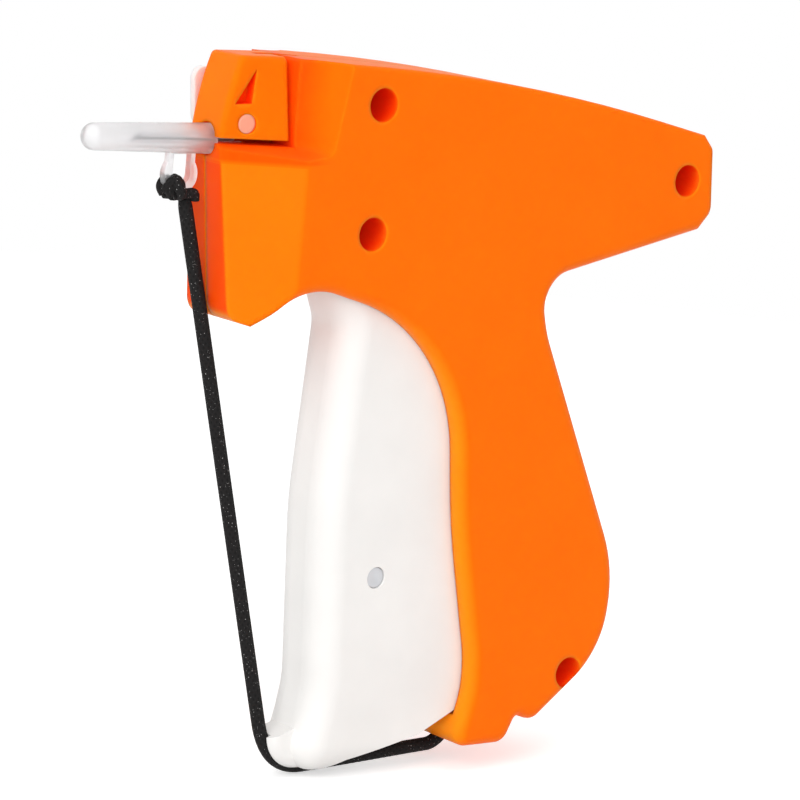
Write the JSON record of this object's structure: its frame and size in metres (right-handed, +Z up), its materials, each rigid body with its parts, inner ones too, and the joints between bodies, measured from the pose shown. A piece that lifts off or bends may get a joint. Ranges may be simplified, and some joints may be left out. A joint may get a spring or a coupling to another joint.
{
  "type": "garment tag attacher",
  "caption": "Pistol-shaped hand tool with a squeeze trigger that shoots plastic tag fasteners through a hollow capped needle, with an elastic return cord.",
  "frame": {"origin": "on the plane between the two shells, in the middle of the handle where the palm closes on it", "axes": "-X the way the needle points, +Z up from the handle to the barrel, -Y the side with the screw heads"},
  "size_m": [0.1489, 0.024, 0.144],
  "materials": {
    "orange_body": "satin moulded plastic",
    "white_trigger": "smooth white plastic",
    "white_lever": "natural white plastic",
    "clear_cap": "translucent soft plastic",
    "steel": "satin",
    "brass_wheel": "satin",
    "elastic": "fine dark braid"
  },
  "bodies": {
    "housing": {"left_shell": "orange_body", "right_shell": "orange_body", "nose_block": "orange_body", "housing_screws": "steel", "needle": "steel", "needle_base": "steel", "trigger_axle": "steel", "lever_axle": "steel", "feed_axle": "steel", "check_pawl": "steel", "cord_anchor": "steel", "elastic_cord": "elastic", "return_spring": "steel"},
    "trigger": {"trigger": "white_trigger", "trigger_pin": "steel"},
    "link": {"drive_link": "white_lever"},
    "lever": {"drive_lever": "white_lever", "lever_link_pin": "steel", "lever_slide_pin": "steel"},
    "slide": {"pusher_slide": "white_lever", "pusher_rod": "steel"},
    "feed": {"feed_wheel": "brass_wheel"},
    "lock": {"needle_lock_lever": "white_lever"},
    "cap": {"needle_cap": "clear_cap", "cord_knot": "elastic"}
  },
  "joints": [
    {"name": "trigger_squeeze", "type": "hinge", "parent": "housing", "child": "trigger", "pos_m": [-0.06002, 0, 0.05199], "axis": [0, -1, 0], "range_deg": [0, 12.5], "stiffness_Nm_per_rad": 3, "springref_deg": -1.72},
    {"name": "link_swing", "type": "hinge", "parent": "trigger", "child": "link", "pos_m": [-0.03623, 0, -0.01421], "axis": [0, -1, 0], "range_deg": [-22, 0]},
    {"name": "lever_swing", "type": "hinge", "parent": "housing", "child": "lever", "pos_m": [-0.003, 0, 0.006], "axis": [0, -1, 0], "range_deg": [0, 30.1]},
    {"name": "slide_stroke", "type": "slide", "parent": "housing", "child": "slide", "axis": [-1, 0, 0], "range_m": [0, 0.034], "deforming": ["return_spring"]},
    {"name": "feed_turn", "type": "hinge", "parent": "housing", "child": "feed", "pos_m": [-0.06393, 0.0037, 0.07965], "axis": [1, 0, 0], "range_deg": [0, 36.1]},
    {"name": "lock_swing", "type": "hinge", "parent": "housing", "child": "lock", "pos_m": [-0.07613, 0, 0.07564], "axis": [0, -1, 0], "range_deg": [0, 80]},
    {"name": "cap_pull", "type": "slide", "parent": "housing", "child": "cap", "axis": [-1, 0, 0], "range_m": [0, 0.025]}
  ],
  "couplings": [
    {"joint": "link_swing", "follows": "trigger_squeeze", "ratio": -1.73},
    {"joint": "lever_swing", "follows": "trigger_squeeze", "ratio": 2.4},
    {"joint": "slide_stroke", "follows": "trigger_squeeze", "m_per_rad": 0.1552},
    {"joint": "feed_turn", "follows": "trigger_squeeze", "ratio": 2.88}
  ]
}
